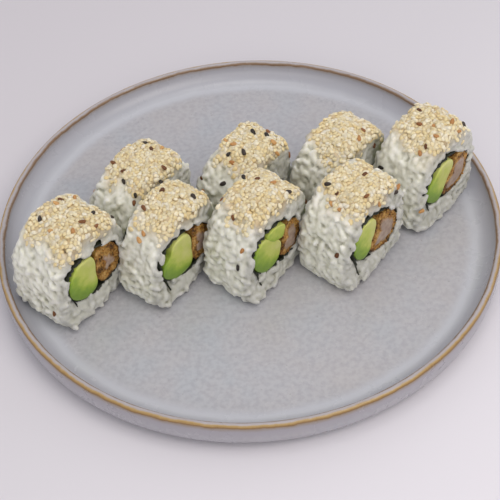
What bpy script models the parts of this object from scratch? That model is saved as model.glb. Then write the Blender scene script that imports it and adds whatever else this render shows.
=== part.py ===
# Shrimp tempura avocado roll: eight cut pieces standing in two staggered rows
# on a round stoneware plate. Metres, +Z up, with the origin at the middle of
# the plate's foot and -Y towards the diner.
#
# Each piece has its own frame: X along the roll, with the cut face that the
# diner sees at +X, Y across the face and Z up from the plate.

import math
import random
from collections import namedtuple

import bmesh
import bpy
from mathutils import Matrix, Vector

GAP = 0.00035              # clearance between neighbouring pieces

# Plate, turned
RIM_RADIUS = 0.125
RIM_HEIGHT = 0.0172
RIM_WIDTH = 0.0036
FLOOR_HEIGHT = 0.0068
FLOOR_RADIUS = 0.109       # the flat floor turns up into the wall here
BELLY_RADIUS = 0.005       # the outer wall turns under on this radius
UNDERSIDE_HEIGHT = 0.0025
FOOT_OUTER = 0.090
FOOT_INNER = 0.084
FOOT_RECESS = 0.0017
TURN_STEPS = 44

# Nori, a band rolled round the filling with its end running out at the seam
RING_HALF_WIDTH = 0.0172
RING_HALF_HEIGHT = 0.0130
RING_SQUARENESS = 2.4
NORI_THICKNESS = 0.0006
NORI_STEPS = 15
RICE_TO_NORI = NORI_THICKNESS / 2 + GAP
SEAM_AT_NORI = math.radians(210)
SEAM_AT_OUTSIDE = math.radians(238)
SEAM_CLEAR_AT_OUTSIDE = math.radians(1.9)
SEAM_LEAN_SHARE = 0.35     # share of the sweep over which the layer leans to its seam

# Rice
RICE_STEPS_ROUND = 2 * NORI_STEPS
RICE_STEPS_ALONG = 7
GRAIN_BUMP = 0.0008
EDGE_ROUNDING = 0.0020
SLUMP_HEIGHT = 0.010       # below this the rice has spread on the plate
SLUMP_ASIDE = 0.0016
WAIST_SHARE = 0.40         # height of the widest place, as a share of the piece
DOME_SQUARENESS = 3.0
TOP_NARROWING = 0.16       # how much narrower and shorter the top of a piece is than its base
TOP_SHORTENING = 0.12
BASE_SQUARENESS = 8.0

# Sesame seeds, the largest of the crust
SEED_SIZE = (0.0034, 0.0021, 0.0012)
SEEDS_ON_A_PIECE = 8
SEED_SPACING = 0.0075
CRUST_FROM = 0.80          # the crust starts at this share of the height

# Fillings
FILLING_CLEARANCE = 0.0013 # from the middle of the nori
AVOCADO_STEPS = 18
SHRIMP_STEPS = 20
SHRIMP_RINGS = 3
BATTER_CRAG = 0.12         # depth of the crags, as a share of the radius
CORNER_SHARPNESS = 7

# place: middle of the piece on the plate. turn: which way the cut face's lower
# edge runs, in degrees from +X. settle: how far its top has leant to the right.
# slump: how far the foot of its cut face has spread. filled: the size of its
# filling, as a share of the usual. rise: middle of the nori's oval above the
# plate. tilt: how far the filling has rolled over. divide and lean: where the
# avocado meets the shrimp across the face, and the slope of that line.
Roll = namedtuple("Roll", "place turn length width height settle slump filled rise tilt divide lean")
FRONT_SLUMP = 0.0038
BACK_SLUMP = 0.0004
ROLLS = (
    Roll((-0.0858, -0.0298), 48, 0.0345, 0.0460, 0.0465,
         0.0020, FRONT_SLUMP, 1.0, 0.0236, 2, 0.0005, 88),
    Roll((-0.0395, -0.0240), 48, 0.0254, 0.0460, 0.0465,
         0.0050, FRONT_SLUMP, 1.0, 0.0236, -5, 0.0034, 88),
    Roll((0.0025, -0.0224), 47, 0.0285, 0.0460, 0.0480,
         0.0050, FRONT_SLUMP, 1.0, 0.0236, -9, 0.0030, 72),
    Roll((0.0490, -0.0187), 46, 0.0300, 0.0460, 0.0480,
         0.0030, FRONT_SLUMP, 1.0, 0.0236, -20, -0.0030, 72),
    Roll((-0.0540, 0.0082), 47, 0.0310, 0.0465, 0.0420,
         0.0065, BACK_SLUMP, 0.84, 0.0160, -6, 0.0010, 80),
    Roll((-0.0028, 0.0152), 46, 0.0285, 0.0440, 0.0415,
         0.0090, BACK_SLUMP, 0.84, 0.0160, -8, -0.0010, 84),
    Roll((0.0449, 0.0209), 45, 0.0285, 0.0455, 0.0420,
         0.0068, BACK_SLUMP, 0.84, 0.0160, -12, 0.0015, 75),
    Roll((0.0883, 0.0172), 45, 0.0310, 0.0460, 0.0480,
         0.0030, FRONT_SLUMP, 1.0, 0.0236, -6, 0.0, 62),
)
# One piece was filled with two slices of avocado, which meet on a slope.
TWO_SLICES = 3
SLICE_MEETING = (-0.0030, 0.0065)
SLICE_SLOPE = math.radians(-36)


def material(name, colour, roughness, coat=0.0):
    made = bpy.data.materials.new(name)
    made.use_nodes = True
    shader = made.node_tree.nodes["Principled BSDF"]
    shader.inputs["Base Color"].default_value = (*colour, 1.0)
    shader.inputs["Roughness"].default_value = roughness
    shader.inputs["Metallic"].default_value = 0.0
    shader.inputs["Coat Weight"].default_value = coat
    return made


def add_object(name, mesh, finish, parent=None):
    obj = bpy.data.objects.new(name, mesh)
    mesh.materials.append(finish)
    part_collection.objects.link(obj)
    obj.parent = parent
    return obj


def mesh_from(bm, name):
    mesh = bpy.data.meshes.new(name)
    bm.to_mesh(mesh)
    bm.free()
    return mesh


def superellipse(angle, half_width, half_height, squareness):
    """Distance from the middle to the outline along an angle."""
    across = abs(math.cos(angle) / half_width) ** squareness
    up = abs(math.sin(angle) / half_height) ** squareness
    return (across + up) ** (-1.0 / squareness)


# Plate

WALL_INSIDE = RIM_RADIUS - RIM_WIDTH
WALL_SWEEP = WALL_INSIDE - FLOOR_RADIUS
WALL_RISE = RIM_HEIGHT - RIM_WIDTH / 2 - FLOOR_HEIGHT


def arc(middle, half_width, half_height, start, end, steps):
    """Points along an elliptical arc; the angles are in degrees."""
    points = []
    for step in range(steps + 1):
        angle = math.radians(start + (end - start) * step / steps)
        points.append((middle[0] + half_width * math.cos(angle),
                       middle[1] + half_height * math.sin(angle)))
    return points


def plate_profile():
    """Half section: out along the floor, over the rim and back under the foot."""
    rim = RIM_WIDTH / 2
    belly_height = UNDERSIDE_HEIGHT + BELLY_RADIUS
    points = [(0.0, FLOOR_HEIGHT)]
    points += arc((FLOOR_RADIUS, FLOOR_HEIGHT + WALL_RISE), WALL_SWEEP, WALL_RISE, -90, 0, 5)
    points += arc((RIM_RADIUS - rim, RIM_HEIGHT - rim), rim, rim, 180, 0, 4)[1:]
    points += arc((RIM_RADIUS - BELLY_RADIUS, belly_height), BELLY_RADIUS, BELLY_RADIUS, 0, -90, 3)
    points += [(FOOT_OUTER, UNDERSIDE_HEIGHT), (FOOT_OUTER, 0.0), (FOOT_INNER, 0.0),
               (FOOT_INNER, FOOT_RECESS), (0.0, FOOT_RECESS)]
    return points


def plate_surface(radius):
    """Height of the plate's upper surface at a distance from its middle."""
    share = min(max(radius - FLOOR_RADIUS, 0.0) / WALL_SWEEP, 1.0)
    return FLOOR_HEIGHT + WALL_RISE * (1.0 - math.sqrt(1.0 - share * share))


def build_plate():
    bm = bmesh.new()
    verts = [bm.verts.new((radius, 0.0, height)) for radius, height in plate_profile()]
    for first, second in zip(verts, verts[1:]):
        bm.edges.new((first, second))
    glaze = material("grey_stoneware_glaze", (0.42, 0.41, 0.44), 0.35, coat=0.3)
    plate = add_object("plate", mesh_from(bm, "plate"), glaze)
    turn = plate.modifiers.new("turn", "SCREW")
    turn.axis = "Z"
    turn.steps = TURN_STEPS
    turn.render_steps = TURN_STEPS
    turn.use_merge_vertices = True
    turn.merge_threshold = 0.0001
    turn.use_smooth_shade = True


# Cross-section of a piece, in its Y and Z

def tilted(point, roll):
    """Turn a point with the filling, about the middle of the nori's oval."""
    turn = Matrix.Rotation(math.radians(roll.tilt), 2)
    return turn @ point + Vector((0.0, roll.rise))


def oval(angle, filled):
    across, up = math.cos(angle), math.sin(angle)
    power = 2.0 / RING_SQUARENESS
    return filled * Vector((math.copysign(RING_HALF_WIDTH * abs(across) ** power, across),
                            math.copysign(RING_HALF_HEIGHT * abs(up) ** power, up)))


def ring_point(roll, angle, swell=0.0):
    """Point on the nori's oval, or outside it by swell."""
    step = math.radians(1)
    along = (oval(angle + step, roll.filled) - oval(angle - step, roll.filled)).normalized()
    return tilted(oval(angle, roll.filled) + Vector((along.y, -along.x)) * swell, roll)


def clear_of_tail(roll, side):
    """Angle nearest the seam where the rice stands clear of the nori's tail, on either side."""
    corner = ring_point(roll, SEAM_AT_NORI)
    tail = (outline_point(roll, SEAM_AT_OUTSIDE) - corner).normalized()
    angle = SEAM_AT_NORI
    aside = 0.0
    while aside < RICE_TO_NORI:
        angle += side * math.radians(0.5)
        offset = ring_point(roll, angle, RICE_TO_NORI) - corner
        aside = side * (tail.x * offset.y - tail.y * offset.x)
    return angle


def ring_angle(roll, share):
    """Angle at a share of the way round the nori, from one side of the seam to the other."""
    start = clear_of_tail(roll, 1)
    return start + share * (2 * math.pi + clear_of_tail(roll, -1) - start)


def inside_nori(roll):
    """A test that is below zero in the space that the nori leaves for the fillings."""
    back = Matrix.Rotation(math.radians(-roll.tilt), 2)
    width = RING_HALF_WIDTH * roll.filled - FILLING_CLEARANCE
    height = RING_HALF_HEIGHT * roll.filled - FILLING_CLEARANCE

    def test(point):
        offset = back @ (point - Vector((0.0, roll.rise)))
        angle = math.atan2(offset.y, offset.x)
        return offset.length - superellipse(angle, width, height, RING_SQUARENESS)

    return test


def beyond_line(through, slope):
    """A test that is below zero on the left of, or above, a sloping line."""
    normal = Vector((math.sin(slope), -math.cos(slope)))
    return lambda point: (point - through).dot(normal) + GAP / 2


def other_side(test):
    return lambda point: GAP - test(point)


def outline_point(roll, angle):
    """Point on the rice's outline: a flat base, sides that draw in, and a domed top."""
    waist = roll.height * WAIST_SHARE
    if math.sin(angle) >= 0.0:
        radius = superellipse(angle, roll.width / 2, roll.height - waist, DOME_SQUARENESS)
    else:
        radius = superellipse(angle, roll.width / 2, waist, BASE_SQUARENESS)
    up = waist + radius * math.sin(angle)
    share = max(up, 0.0) / roll.height
    across = radius * math.cos(angle) * (1.0 - TOP_NARROWING * share ** 2)
    return Vector((across + roll.settle * share ** 1.5, up))


def drawn_back(x, height, roll):
    """Distance along the piece, less towards its top."""
    share = max(height, 0.0) / roll.height
    return x * (1.0 - TOP_SHORTENING * share ** 3)


def outline_angle(roll, share):
    """Angle of the rice's outer point at a share of its sweep. It lies straight out from the
    nori, except near the seam, which leans."""
    middle = Vector((0.0, roll.height * WAIST_SHARE))

    def straight_out(part):
        spoke = ring_point(roll, ring_angle(roll, part)) - middle
        return math.atan2(spoke.y, spoke.x)

    first = straight_out(0.0)
    last = first + (straight_out(1.0) - first) % (2 * math.pi)
    lean_first = SEAM_AT_OUTSIDE + SEAM_CLEAR_AT_OUTSIDE - first % (2 * math.pi)
    lean_last = SEAM_AT_OUTSIDE - SEAM_CLEAR_AT_OUTSIDE - last % (2 * math.pi)
    angle = first + (straight_out(share) - first) % (2 * math.pi)
    angle += lean_first * max(0.0, 1.0 - share / SEAM_LEAN_SHARE)
    return angle + lean_last * max(0.0, 1.0 - (1.0 - share) / SEAM_LEAN_SHARE)


# Rice

def rest_on_plate(point, frame):
    """Lift a point of the rice off the plate's rising wall."""
    placed = frame @ point
    radius = Vector((placed.x, placed.y)).length
    inmost = WALL_INSIDE - 2 * GAP
    if radius > inmost:
        placed.x *= inmost / radius
        placed.y *= inmost / radius
        radius = inmost
    placed.z = max(placed.z, plate_surface(radius + 2 * GAP) + GAP)
    return frame.inverted() @ placed


def rice_section(roll, step, frame, rng):
    """One loop of points round the layer of rice, at a step along its sweep."""
    share = step / RICE_STEPS_ROUND
    inner = ring_point(roll, ring_angle(roll, share), RICE_TO_NORI)
    outer = outline_point(roll, outline_angle(roll, share))
    outward = (outer - inner).normalized()
    half = roll.length / 2
    loop = []
    for along in range(RICE_STEPS_ALONG + 1):
        x = half * (2 * along / RICE_STEPS_ALONG - 1)
        bump = rng.uniform(-GRAIN_BUMP, GRAIN_BUMP)
        if along in (0, RICE_STEPS_ALONG):
            bump -= EDGE_ROUNDING
            x *= 1 - rng.uniform(0.01, 0.06)
        y, z = outer + outward * bump
        loop.append(Vector((drawn_back(x, z, roll), y, max(z, 0.0))))
    middle = inner.lerp(outer, 0.45)
    for side, spots in ((1, (middle, inner)), (-1, (inner, middle))):
        for y, z in spots:
            sunk = rng.uniform(0.0, GRAIN_BUMP)
            loop.append(Vector((drawn_back(side * (half - sunk), z, roll), y, max(z, 0.0))))
    for place, point in enumerate(loop):
        spread = max(0.0, 1.0 - point.z / SLUMP_HEIGHT)
        if place in (RICE_STEPS_ALONG, RICE_STEPS_ALONG + 1) and point.y < 0.1 * roll.width:
            point.x += roll.slump * spread
        if place <= RICE_STEPS_ALONG and point.y < -0.4 * roll.width:
            point.y -= SLUMP_ASIDE * spread
    return [rest_on_plate(point, frame) for point in loop]


def build_rice(name, roll, holder, frame, finish, rng):
    """A thick layer of rice swept round the nori from one side of the seam to the other."""
    bm = bmesh.new()
    sections = []
    for step in range(RICE_STEPS_ROUND + 1):
        sections.append([bm.verts.new(point) for point in rice_section(roll, step, frame, rng)])
    count = len(sections[0])
    for here, there in zip(sections, sections[1:]):
        for k in range(count):
            n = (k + 1) % count
            bm.faces.new((here[k], here[n], there[n], there[k]))
    bm.faces.new(list(reversed(sections[0])))
    bm.faces.new(sections[-1])
    bmesh.ops.triangulate(bm, faces=bm.faces[:])
    bmesh.ops.recalc_face_normals(bm, faces=bm.faces[:])
    bm.normal_update()
    crust = []
    for section in sections:
        for vert in section[1:RICE_STEPS_ALONG]:
            if vert.co.z > CRUST_FROM * roll.height:
                crust.append((vert.co.copy(), vert.normal.copy()))
    rice = add_object(name, mesh_from(bm, name), finish, holder)
    fuse_seeds(rice, crust, rng)
    return rice


def seed_spots(crust, rng):
    """Spots for seeds, spread evenly over the top of a piece."""
    rng.shuffle(crust)
    taken = []
    for spot, normal in crust:
        if len(taken) == SEEDS_ON_A_PIECE:
            break
        if all((spot - other).length > SEED_SPACING for other, _ in taken):
            taken.append((spot, normal))
    return taken


def fuse_seeds(rice, crust, rng):
    """Sesame seeds half sunk in the rice, joined to it by one union."""
    seeds = bpy.data.collections.new("seeds")
    bpy.context.scene.collection.children.link(seeds)
    for spot, normal in seed_spots(crust, rng):
        bm = bmesh.new()
        bmesh.ops.create_uvsphere(bm, u_segments=6, v_segments=4, radius=0.5)
        bm.transform(Matrix.Diagonal((*SEED_SIZE, 1.0)))
        seed = bpy.data.objects.new("seed", mesh_from(bm, "seed"))
        lie = normal.to_track_quat("Z", "Y").to_matrix().to_4x4()
        spin = Matrix.Rotation(rng.uniform(0, math.pi), 4, "Z")
        seed.matrix_world = rice.parent.matrix_world @ Matrix.Translation(spot) @ lie @ spin
        seeds.objects.link(seed)
    join = rice.modifiers.new("seeds", "BOOLEAN")
    join.operation = "UNION"
    join.operand_type = "COLLECTION"
    join.solver = "MANIFOLD"
    join.collection = seeds
    apply_modifiers(rice)
    keep_largest_body(rice.data)
    for seed in list(seeds.objects):
        bpy.data.objects.remove(seed)
    bpy.data.collections.remove(seeds)


def apply_modifiers(obj):
    bpy.context.view_layer.update()
    graph = bpy.context.evaluated_depsgraph_get()
    made = bpy.data.meshes.new_from_object(obj.evaluated_get(graph))
    made.name = obj.data.name
    obj.modifiers.clear()
    obj.data = made


def keep_largest_body(mesh):
    """Drop any loose scrap that a union leaves."""
    bm = bmesh.new()
    bm.from_mesh(mesh)
    waiting = set(bm.verts)
    bodies = []
    while waiting:
        body = set()
        edge = [waiting.pop()]
        while edge:
            vert = edge.pop()
            body.add(vert)
            for link in vert.link_edges:
                other = link.other_vert(vert)
                if other in waiting:
                    waiting.remove(other)
                    edge.append(other)
        bodies.append(body)
    bodies.sort(key=len, reverse=True)
    scraps = [vert for body in bodies[1:] for vert in body]
    bmesh.ops.delete(bm, geom=scraps, context="VERTS")
    bmesh.ops.triangulate(bm, faces=[face for face in bm.faces if len(face.verts) > 4])
    bm.to_mesh(mesh)
    bm.free()


# Nori

def nori_path(roll):
    """The band's middle line: in along the seam, then once round the filling."""
    corner = ring_point(roll, SEAM_AT_NORI)
    tail_end = outline_point(roll, SEAM_AT_OUTSIDE).lerp(corner, 0.10)
    path = [tail_end, tail_end.lerp(corner, 0.5), corner]
    for step in range(NORI_STEPS - 1, -1, -1):
        share = max(step / NORI_STEPS, 0.008)
        path.append(ring_point(roll, ring_angle(roll, share)))
    return path


def build_nori(name, roll, holder, finish):
    half = roll.length / 2
    bm = bmesh.new()
    rows = [[bm.verts.new((x, y, z)) for x in (-half, half)] for y, z in nori_path(roll)]
    for here, there in zip(rows, rows[1:]):
        bm.faces.new((here[0], here[1], there[1], there[0]))
    nori = add_object(name, mesh_from(bm, name), finish, holder)
    sheet = nori.modifiers.new("sheet", "SOLIDIFY")
    sheet.thickness = NORI_THICKNESS
    sheet.offset = 0.0
    sheet.use_even_offset = True


# Fillings

def reach(centre, angle, tests):
    """How far a filling swells from its centre before it meets what holds it."""
    ray = Vector((math.cos(angle), math.sin(angle)))
    total = 0.0
    for test in tests:
        near, far = 0.0, 2 * RING_HALF_WIDTH
        for _ in range(24):
            half_way = (near + far) / 2
            if test(centre + ray * half_way) < 0.0:
                near = half_way
            else:
                far = half_way
        total += near ** -CORNER_SHARPNESS
    return total ** (-1.0 / CORNER_SHARPNESS)


def build_filling(name, roll, holder, finish, centre, tests, steps, rings=1, crag=0.0, rng=None):
    """A filling that runs through the piece, from a cylinder swelled to fit its place."""
    bm = bmesh.new()
    bmesh.ops.create_cone(bm, cap_ends=True, segments=steps, radius1=1.0, radius2=1.0,
                          depth=roll.length)
    upright = [edge for edge in bm.edges if abs(edge.verts[0].co.z - edge.verts[1].co.z) > GAP]
    if rings > 1:
        bmesh.ops.subdivide_edges(bm, edges=upright, cuts=rings - 1)
    for vert in bm.verts:
        angle = math.atan2(vert.co.y, vert.co.x)
        radius = reach(centre, angle, tests)
        if crag:
            radius *= 1.0 - crag * rng.random()
        vert.co = (vert.co.z, centre.x + radius * math.cos(angle), centre.y + radius * math.sin(angle))
    add_object(name, mesh_from(bm, name), finish, holder)


def build_fillings(number, roll, holder, finishes, rng):
    held = inside_nori(roll)
    ring_width = RING_HALF_WIDTH * roll.filled
    meeting = Vector((roll.divide, roll.rise))
    left_of_meeting = beyond_line(meeting, math.radians(roll.lean))
    right_of_meeting = other_side(left_of_meeting)

    avocado_centre = tilted(Vector(((roll.divide - ring_width) / 2, 0.0)), roll)
    if number == TWO_SLICES:
        split = Vector((SLICE_MEETING[0], roll.rise + SLICE_MEETING[1]))
        above = beyond_line(split, SLICE_SLOPE)
        upper = split + Vector((0.0020, 0.0022))
        lower = split - Vector((0.0060, 0.0045))
        build_filling(f"avocado_{number}_upper", roll, holder, finishes["avocado"], upper,
                      (held, left_of_meeting, above), AVOCADO_STEPS)
        build_filling(f"avocado_{number}_lower", roll, holder, finishes["avocado"], lower,
                      (held, left_of_meeting, other_side(above)), AVOCADO_STEPS)
    else:
        build_filling(f"avocado_{number}", roll, holder, finishes["avocado"], avocado_centre,
                      (held, left_of_meeting), AVOCADO_STEPS)

    shrimp_centre = tilted(Vector(((roll.divide + ring_width) / 2, 0.0)), roll)
    build_filling(f"shrimp_{number}", roll, holder, finishes["shrimp"], shrimp_centre,
                  (held, right_of_meeting), SHRIMP_STEPS, SHRIMP_RINGS, BATTER_CRAG, rng)


def build_roll(number, roll, finishes):
    rng = random.Random(number)
    holder = bpy.data.objects.new(f"roll_{number}", None)
    part_collection.objects.link(holder)
    holder.location = (*roll.place, FLOOR_HEIGHT + GAP)
    holder.rotation_euler.z = math.radians(roll.turn - 90)
    bpy.context.view_layer.update()
    frame = holder.matrix_world.copy()
    build_rice(f"rice_{number}", roll, holder, frame, finishes["rice"], rng)
    build_nori(f"nori_{number}", roll, holder, finishes["nori"])
    build_fillings(number, roll, holder, finishes, rng)


for old in list(bpy.data.objects):
    bpy.data.objects.remove(old)
part_collection = bpy.data.collections.new("shrimp_tempura_avocado_roll")
bpy.context.scene.collection.children.link(part_collection)

build_plate()
roll_finishes = {
    "rice": material("cooked_rice", (0.66, 0.66, 0.60), 0.45),
    "nori": material("nori", (0.02, 0.03, 0.02), 0.55),
    "avocado": material("avocado", (0.42, 0.52, 0.12), 0.40),
    "shrimp": material("battered_shrimp", (0.50, 0.27, 0.09), 0.55),
}
for roll_number, one_roll in enumerate(ROLLS, start=1):
    build_roll(roll_number, one_roll, roll_finishes)
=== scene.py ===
# Shrimp tempura avocado roll, eight pieces on a stoneware plate: the looks, built round the
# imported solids. Metres, +Z up; each roll has its own frame, with X along the roll (the cut face
# that the diner sees at +X), Y across the face and Z up from the plate.

import math
from collections import namedtuple

import bpy
import numpy as np
from mathutils import Matrix, Vector, noise
from mathutils.bvhtree import BVHTree


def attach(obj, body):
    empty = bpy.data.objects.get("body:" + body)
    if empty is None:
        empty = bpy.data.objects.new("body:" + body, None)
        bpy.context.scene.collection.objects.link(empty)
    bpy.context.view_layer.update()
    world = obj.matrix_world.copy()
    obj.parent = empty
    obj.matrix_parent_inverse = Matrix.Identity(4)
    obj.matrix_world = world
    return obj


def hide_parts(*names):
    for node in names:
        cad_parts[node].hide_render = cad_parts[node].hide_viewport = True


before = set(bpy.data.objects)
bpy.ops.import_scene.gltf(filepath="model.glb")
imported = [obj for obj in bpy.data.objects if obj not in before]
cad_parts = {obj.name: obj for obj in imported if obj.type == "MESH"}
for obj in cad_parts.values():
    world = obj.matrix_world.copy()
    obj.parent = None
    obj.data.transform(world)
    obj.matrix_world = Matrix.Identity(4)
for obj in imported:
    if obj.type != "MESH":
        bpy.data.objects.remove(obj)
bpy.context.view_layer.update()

# Camera
# The plate was photographed from the diner's side, from well above the table, with the camera
# turned a little on its own axis.

VIEW_ELEVATION = math.radians(47.55)
VIEW_ROLL = math.radians(-3.62)
VIEW_DISTANCE = 0.6064
VIEW_TARGET = Vector((-0.0003, -0.0061, 0.0))
LENS_MM = 86.4
SENSOR_MM = 36.0
PHOTO_PIXELS = 500

back = Vector((0.0, -math.cos(VIEW_ELEVATION), math.sin(VIEW_ELEVATION)))
level_right = Vector((1.0, 0.0, 0.0))
level_up = level_right.cross(-back)
view_right = math.cos(VIEW_ROLL) * level_right + math.sin(VIEW_ROLL) * level_up
view_up = math.cos(VIEW_ROLL) * level_up - math.sin(VIEW_ROLL) * level_right
eye = VIEW_TARGET + VIEW_DISTANCE * back


def in_scene(name, data):
    """A new object in the scene, of the mesh, camera or light given."""
    made = bpy.data.objects.new(name, data)
    bpy.context.collection.objects.link(made)
    return made


lens = bpy.data.cameras.new("camera")
lens.lens = LENS_MM
lens.sensor_width = SENSOR_MM
camera = in_scene("camera", lens)
facing = Matrix((view_right, view_up, back)).transposed()
camera.matrix_world = Matrix.Translation(eye) @ facing.to_4x4()
bpy.context.scene.camera = camera


def towards_pixel(column, row):
    """Direction from the eye through a pixel of the photograph."""
    focal = PHOTO_PIXELS * LENS_MM / SENSOR_MM
    middle = PHOTO_PIXELS / 2
    aside = (column - middle) / focal * view_right
    return (aside - (row - middle) / focal * view_up - back).normalized()


# Plate
# A low coupe plate, thrown or pressed in stoneware and dipped in a grey-lilac reactive glaze. The
# glaze breaks to golden brown where it runs thin, along both edges of the rim, and carries fine
# dark specks of iron.

RIM_RADIUS = 0.125
RIM_HEIGHT = 0.0172
RIM_WIDTH = 0.0036
FLOOR_HEIGHT = 0.0068
FLOOR_RADIUS = 0.109
BELLY_RADIUS = 0.005
UNDERSIDE_HEIGHT = 0.0025
FOOT_OUTER = 0.090
FOOT_INNER = 0.084
FOOT_RECESS = 0.0017
FOOT_ROUNDING = 0.0005
PLATE_STEPS = 216
FLOOR_RINGS = 24
WALL_STEPS = 20
CREST_STEPS = 16
OUTER_WALL_STEPS = 6
BELLY_STEPS = 10
FOOT_STEPS = 3

WALL_INSIDE = RIM_RADIUS - RIM_WIDTH
WALL_SWEEP = WALL_INSIDE - FLOOR_RADIUS
WALL_RISE = RIM_HEIGHT - RIM_WIDTH / 2 - FLOOR_HEIGHT


def colour(code):
    """An sRGB hex colour as linear RGBA."""
    parts = [int(code[i:i + 2], 16) / 255 for i in (0, 2, 4)]
    linear = [part / 12.92 if part <= 0.04045 else ((part + 0.055) / 1.055) ** 2.4 for part in parts]
    return (*linear, 1.0)


def feed(node, inputs):
    """Set a node's inputs or link them, to a socket or to another node's first live output."""
    for socket, value in inputs.items():
        if isinstance(value, bpy.types.Node):
            value = next(output for output in value.outputs if output.enabled)
        if isinstance(value, bpy.types.NodeSocket):
            node.id_data.links.new(value, node.inputs[socket])
        else:
            node.inputs[socket].default_value = value


def add_node(tree, kind, inputs=None, stops=None, **settings):
    """Add a node with its settings, its input values or links, and a ramp's stops."""
    made = tree.nodes.new(kind)
    for name, value in settings.items():
        setattr(made, name, value)
    feed(made, inputs or {})
    if stops:
        ramp = made.color_ramp.elements
        while len(ramp) < len(stops):
            ramp.new(1.0)
        for stop, (place, code) in zip(ramp, stops):
            stop.position = place
            stop.color = colour(code)
    return made


def new_material(name, **values):
    """A material with its Principled shader's constant values, its node tree and its shader."""
    made = bpy.data.materials.new(name)
    made.use_nodes = True
    shader = made.node_tree.nodes["Principled BSDF"]
    feed(shader, {socket.replace("_", " "): value for socket, value in values.items()})
    return made, made.node_tree, shader


def new_piece(name, points, faces, material, replaced=(), attributes=None):
    """A smooth mesh that rides with the plate's body, with its values for each point."""
    mesh = bpy.data.meshes.new(name)
    mesh.from_pydata(points, [], faces)
    mesh.shade_smooth()
    for label, values in (attributes or {}).items():
        mesh.attributes.new(label, "FLOAT", "POINT").data.foreach_set("value", values)
    mesh.materials.append(material)
    piece = in_scene(name, mesh)
    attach(piece, "root")
    if replaced:
        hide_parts(*replaced)
    return piece


def arc(middle, half_width, half_height, start, end, steps):
    """Points along an elliptical arc; the angles are in degrees."""
    angles = np.radians(np.linspace(start, end, steps + 1))
    return np.stack([np.cos(angles), np.sin(angles)], 1) * (half_width, half_height) + middle


def plate_surface(radius):
    """Height of the plate's upper surface at distances from its middle."""
    share = np.clip((radius - FLOOR_RADIUS) / WALL_SWEEP, 0.0, 1.0)
    return FLOOR_HEIGHT + WALL_RISE * (1.0 - np.sqrt(1.0 - share * share))


def plate_profile():
    """Half section: out along the floor, over the rim and back under the foot; and which of its
    points is the rim's crest."""
    rim = RIM_WIDTH / 2
    belly_height = UNDERSIDE_HEIGHT + BELLY_RADIUS
    floor = [(radius, FLOOR_HEIGHT) for radius in np.linspace(0.0, FLOOR_RADIUS, FLOOR_RINGS)]
    wall = arc((FLOOR_RADIUS, FLOOR_HEIGHT + WALL_RISE), WALL_SWEEP, WALL_RISE, -90, 0,
               WALL_STEPS)[1:]
    crest = arc((RIM_RADIUS - rim, RIM_HEIGHT - rim), rim, rim, 180, 0, CREST_STEPS)[1:]
    belly = arc((RIM_RADIUS - BELLY_RADIUS, belly_height), BELLY_RADIUS, BELLY_RADIUS, 0, -90,
                BELLY_STEPS)
    outer_wall = np.linspace(crest[-1], belly[0], OUTER_WALL_STEPS + 1)[1:-1]
    edge = FOOT_ROUNDING
    foot = arc((FOOT_OUTER - edge, edge), edge, edge, 0, -90, FOOT_STEPS)
    heel = arc((FOOT_INNER + edge, edge), edge, edge, -90, -180, FOOT_STEPS)
    inside = [(FOOT_OUTER, UNDERSIDE_HEIGHT), *foot, *heel, (FOOT_INNER, FOOT_RECESS),
              (0.0, FOOT_RECESS)]
    crest_at = len(floor) + len(wall) + CREST_STEPS // 2 - 1
    return np.concatenate([floor, wall, crest, outer_wall, belly, inside]), crest_at


def turned_plate():
    """The profile turned round Z, with each point's distance over the glaze from the rim's crest."""
    profile, crest_at = plate_profile()
    run = np.concatenate([[0.0], np.cumsum(np.linalg.norm(np.diff(profile, axis=0), axis=1))])
    run -= run[crest_at]
    turn = np.arange(PLATE_STEPS) * 2 * math.pi / PLATE_STEPS
    rows = profile[1:-1]
    points = np.stack([np.outer(rows[:, 0], np.cos(turn)), np.outer(rows[:, 0], np.sin(turn)),
                       np.repeat(rows[:, 1:], PLATE_STEPS, 1)], 2).reshape(-1, 3)
    points = np.concatenate([points, [(0.0, 0.0, FLOOR_HEIGHT), (0.0, 0.0, FOOT_RECESS)]])
    here = np.arange(PLATE_STEPS)
    there = (here + 1) % PLATE_STEPS
    faces = []
    for row in range(len(rows) - 1):
        low, high = row * PLATE_STEPS, (row + 1) * PLATE_STEPS
        faces += np.stack([here + low, here + high, there + high, there + low], 1).tolist()
    last = (len(rows) - 1) * PLATE_STEPS
    top, under = len(points) - 2, len(points) - 1
    faces += [(top, a, b) for a, b in zip(here.tolist(), there.tolist())]
    faces += [(under, b + last, a + last) for a, b in zip(here.tolist(), there.tolist())]
    return points, faces, np.concatenate([np.repeat(run[1:-1], PLATE_STEPS), [run[0], run[-1]]])


# Reactive stoneware glaze, fired: a satin gloss with a soft orange peel, grey-lilac where it is
# thick and golden brown on the edges. Its tone drifts in wide clouds and in a fine mottle.
CLOUD_SIZE = 0.0357
MOTTLE_SIZE = 0.00238
PEEL_SIZE = 0.003846
PEEL_HEIGHT = 0.0004
glaze, tree, shader = new_material("reactive_stoneware_glaze", IOR=1.5)
place = add_node(tree, "ShaderNodeTexCoord").outputs["Object"]
cloud = add_node(tree, "ShaderNodeTexNoise",
                 {"Vector": place, "Scale": 1 / CLOUD_SIZE, "Detail": 6.0, "Roughness": 0.6})
body_tone = add_node(tree, "ShaderNodeValToRGB", {"Fac": cloud},
                     [(0.30, "B2B6BC"), (0.50, "B6B6BA"), (0.68, "B8B6B8")])
mottle = add_node(tree, "ShaderNodeTexNoise", {"Vector": place, "Scale": 1 / MOTTLE_SIZE, "Detail": 3.0})
mottle_tone = add_node(tree, "ShaderNodeValToRGB", {"Fac": mottle},
                       [(0.35, "F1F0F2"), (0.60, "FFFFFF")])
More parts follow.
